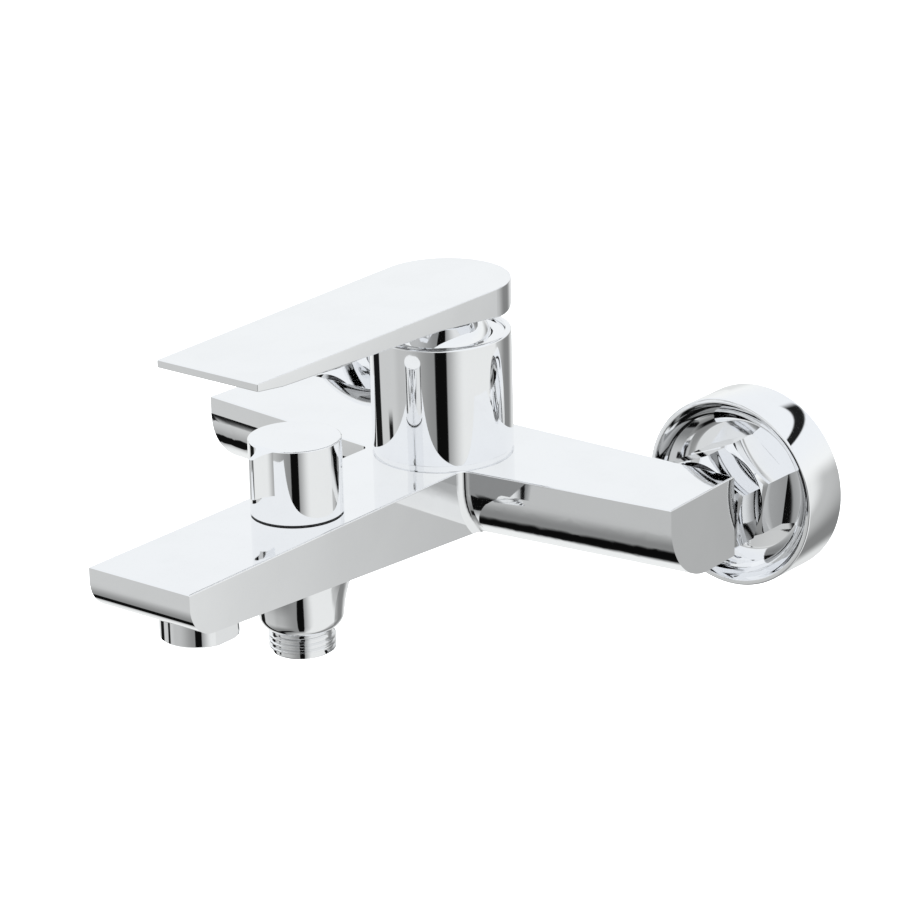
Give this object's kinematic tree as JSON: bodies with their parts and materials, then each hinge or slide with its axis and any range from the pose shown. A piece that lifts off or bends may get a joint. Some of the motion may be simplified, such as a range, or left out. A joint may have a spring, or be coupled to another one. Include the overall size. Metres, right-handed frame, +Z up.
{
  "type": "wall mounted bath faucet",
  "caption": "Wall mounted bath mixer: T-shaped casting with flat top, paddle lever on a round column, rotary diverter knob, spout with aerator and a threaded shower outlet underneath.",
  "frame": {"origin": "on the wall plane, midway between the two wall inlets, at the height of the union nuts' axis", "axes": "+Y into the wall, so the spout points to -Y; +Z up; +X to the right for someone facing the wall"},
  "size_m": [0.2116, 0.2245, 0.101],
  "materials": {
    "polished_chrome": "mirror polish",
    "bare_brass": "turned",
    "stainless_steel": "turned",
    "black_rubber": "matt",
    "dark_ring": "matt",
    "cartridge_ceramic": "lapped",
    "cartridge_plastic": "moulded",
    "white_plastic": "moulded",
    "index_plastic": "moulded"
  },
  "bodies": {
    "base": {"faucet_body": "polished_chrome", "column_seat_ring": "dark_ring", "column_sleeve": "polished_chrome", "sleeve_o_ring": "black_rubber", "column_cap_ring": "polished_chrome", "cartridge_base": "cartridge_plastic", "cartridge_fixed_disc": "cartridge_ceramic", "cartridge_port_seals": "black_rubber", "cartridge_housing": "cartridge_plastic", "cartridge_lock_nut": "bare_brass", "diverter_base_ring": "dark_ring", "diverter_headpart": "bare_brass", "diverter_headpart_seal": "black_rubber", "diverter_valve_cage": "cartridge_plastic", "shower_outlet_nipple": "polished_chrome", "outlet_nipple_seal": "black_rubber", "check_valve_housing": "white_plastic", "check_valve_spring": "stainless_steel", "aerator_collar": "polished_chrome", "aerator_insert": "white_plastic", "aerator_washer": "black_rubber", "inlet_tail_right": "polished_chrome", "tail_seal_right": "black_rubber", "union_washer_right": "black_rubber", "inlet_filter_right": "stainless_steel", "eccentric_union_right": "polished_chrome", "escutcheon_right": "polished_chrome", "escutcheon_gasket_right": "black_rubber", "inlet_tail_left": "polished_chrome", "tail_seal_left": "black_rubber", "union_washer_left": "black_rubber", "inlet_filter_left": "stainless_steel", "eccentric_union_left": "polished_chrome", "escutcheon_left": "polished_chrome", "escutcheon_gasket_left": "black_rubber"},
    "lever_turntable": {"cartridge_rotor": "cartridge_plastic", "cartridge_pivot_pin": "stainless_steel", "rotor_o_ring": "black_rubber"},
    "lever": {"lever_handle": "polished_chrome", "lever_set_screw": "stainless_steel", "lever_index_plug": "index_plastic", "cartridge_stem": "bare_brass"},
    "mixing_slide": {"cartridge_moving_disc": "cartridge_ceramic", "cartridge_disc_carrier": "cartridge_plastic"},
    "diverter": {"diverter_knob": "polished_chrome", "diverter_knob_screw": "stainless_steel", "diverter_spindle": "bare_brass", "diverter_plug": "bare_brass", "diverter_o_ring": "black_rubber"},
    "nut_right": {"union_nut_right": "polished_chrome"},
    "nut_left": {"union_nut_left": "polished_chrome"},
    "check_poppet": {"check_valve_poppet": "white_plastic"}
  },
  "joints": [
    {"name": "lever_turn", "type": "hinge", "parent": "base", "child": "lever_turntable", "pos_m": [0, -0.0674, 0.0471], "axis": [0, 0, 1], "range_deg": [-50, 50]},
    {"name": "lever_tilt", "type": "hinge", "parent": "lever_turntable", "child": "lever", "pos_m": [0, -0.0674, 0.0471], "axis": [-1, 0, 0], "range_deg": [0, 25]},
    {"name": "mixing_slide_travel", "type": "slide", "parent": "lever_turntable", "child": "mixing_slide", "axis": [0, -1, 0], "range_m": [0, 0.0092]},
    {"name": "diverter_turn", "type": "hinge", "parent": "base", "child": "diverter", "pos_m": [0, -0.1382, 0.015], "axis": [0, 0, 1], "range_deg": [0, 90]},
    {"name": "nut_right_spin", "type": "hinge", "parent": "base", "child": "nut_right", "pos_m": [0.075, -0.0279, 0], "axis": [0, 1, 0], "continuous": true},
    {"name": "nut_left_spin", "type": "hinge", "parent": "base", "child": "nut_left", "pos_m": [-0.075, -0.0279, 0], "axis": [0, 1, 0], "continuous": true},
    {"name": "check_valve_open", "type": "slide", "parent": "base", "child": "check_poppet", "axis": [0, 0, -1], "range_m": [0, 0.0025], "stiffness_N_per_m": 120, "springref_m": -0.004, "deforming": ["check_valve_spring"]}
  ],
  "couplings": [
    {"joint": "mixing_slide_travel", "follows": "lever_tilt", "m_per_rad": 0.02108}
  ]
}
